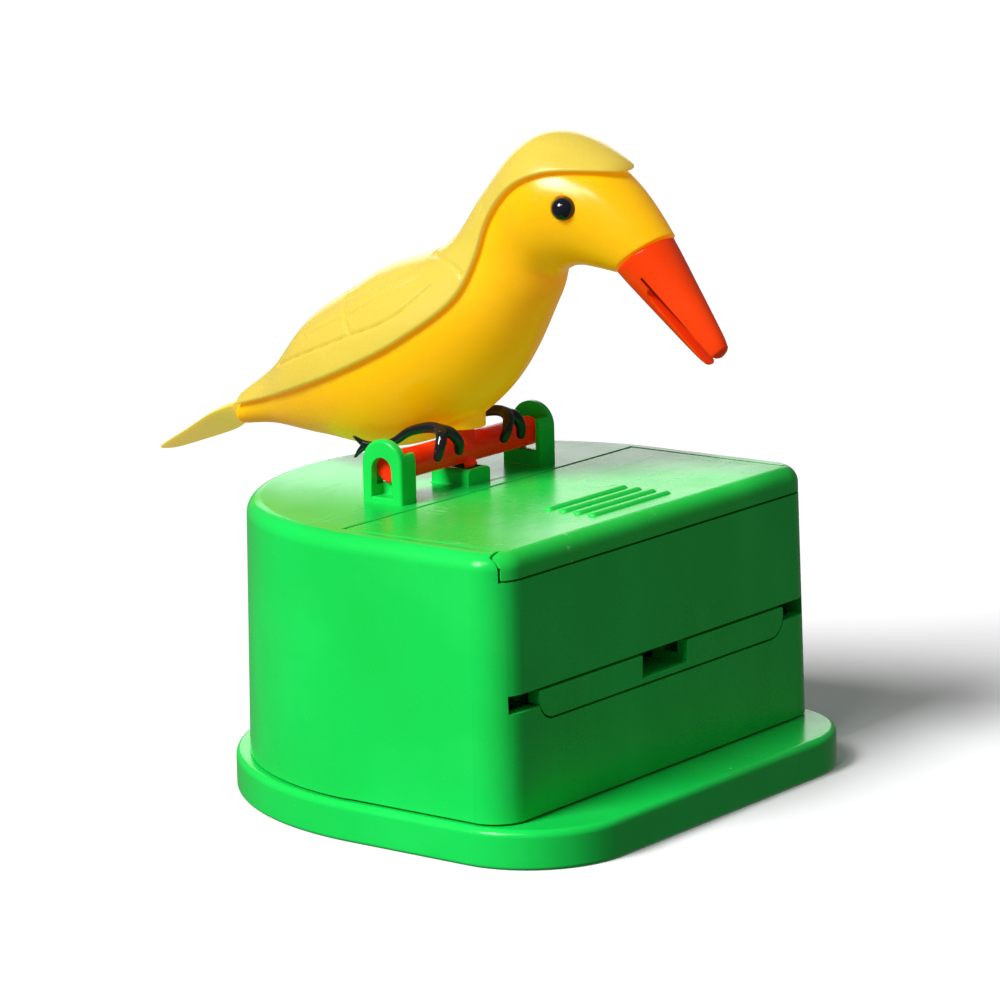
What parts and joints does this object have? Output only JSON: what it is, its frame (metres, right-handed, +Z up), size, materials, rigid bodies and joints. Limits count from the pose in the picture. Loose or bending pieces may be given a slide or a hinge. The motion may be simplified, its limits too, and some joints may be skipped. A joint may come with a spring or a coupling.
{
  "type": "toothpick dispenser",
  "caption": "Toothpick dispenser: a box with a sliding lid and a bird on a perch that bows, moves the tray and picks one from the slot.",
  "frame": {"origin": "centre of the base plate's underside", "axes": "+Z up, the slot faces -Y, +X to the bird's left hand as it faces the viewer's right side; the perch rod lies along X"},
  "size_m": [0.0754, 0.0996, 0.0907],
  "materials": {
    "green_plastic": "glossy moulded plastic, faintly translucent",
    "white_plastic": "satin moulded plastic",
    "steel": "bright zinc",
    "red_plastic": "glossy moulded plastic",
    "yellow_plastic": "glossy moulded plastic, faintly translucent",
    "pale_yellow_plastic": "glossy moulded plastic, faintly translucent",
    "orange_plastic": "glossy moulded plastic",
    "black_plastic": "high gloss"
  },
  "bodies": {
    "case": {"base_plate": "green_plastic", "case_shell": "green_plastic", "hopper_chute": "white_plastic", "rocker_pin": "steel", "return_spring": "steel", "base_screw_front_left": "steel", "base_screw_front_right": "steel", "base_screw_rear_left": "steel", "base_screw_rear_right": "steel"},
    "lid": {"lid": "green_plastic"},
    "bird": {"perch_rod": "red_plastic", "bird_screw": "steel", "belly_shell": "yellow_plastic", "back_shell": "pale_yellow_plastic", "tail": "pale_yellow_plastic", "beak": "orange_plastic", "eye_left": "black_plastic", "eye_right": "black_plastic", "foot_left": "black_plastic", "foot_right": "black_plastic"},
    "rocker": {"rocker": "white_plastic"},
    "tray": {"tray": "green_plastic"}
  },
  "joints": [
    {"name": "bow", "type": "hinge", "parent": "case", "child": "bird", "pos_m": [0, 0.00625, 0.0457], "axis": [1, 0, 0], "range_deg": [0, 55], "stiffness_Nm_per_rad": 0.012, "springref_deg": -34.38},
    {"name": "rocker_turn", "type": "hinge", "parent": "case", "child": "rocker", "pos_m": [0, 0.00625, 0.0364], "axis": [-1, 0, 0], "range_deg": [0, 23], "deforming": ["return_spring"]},
    {"name": "tray_slide", "type": "slide", "parent": "case", "child": "tray", "axis": [0, -1, 0], "range_m": [0, 0.007]},
    {"name": "lid_slide", "type": "slide", "parent": "case", "child": "lid", "axis": [0, -1, 0], "range_m": [0, 0.05]}
  ],
  "couplings": [
    {"joint": "rocker_turn", "follows": "bow", "ratio": 0.41454},
    {"joint": "tray_slide", "follows": "bow", "m_per_rad": 0.007188}
  ]
}
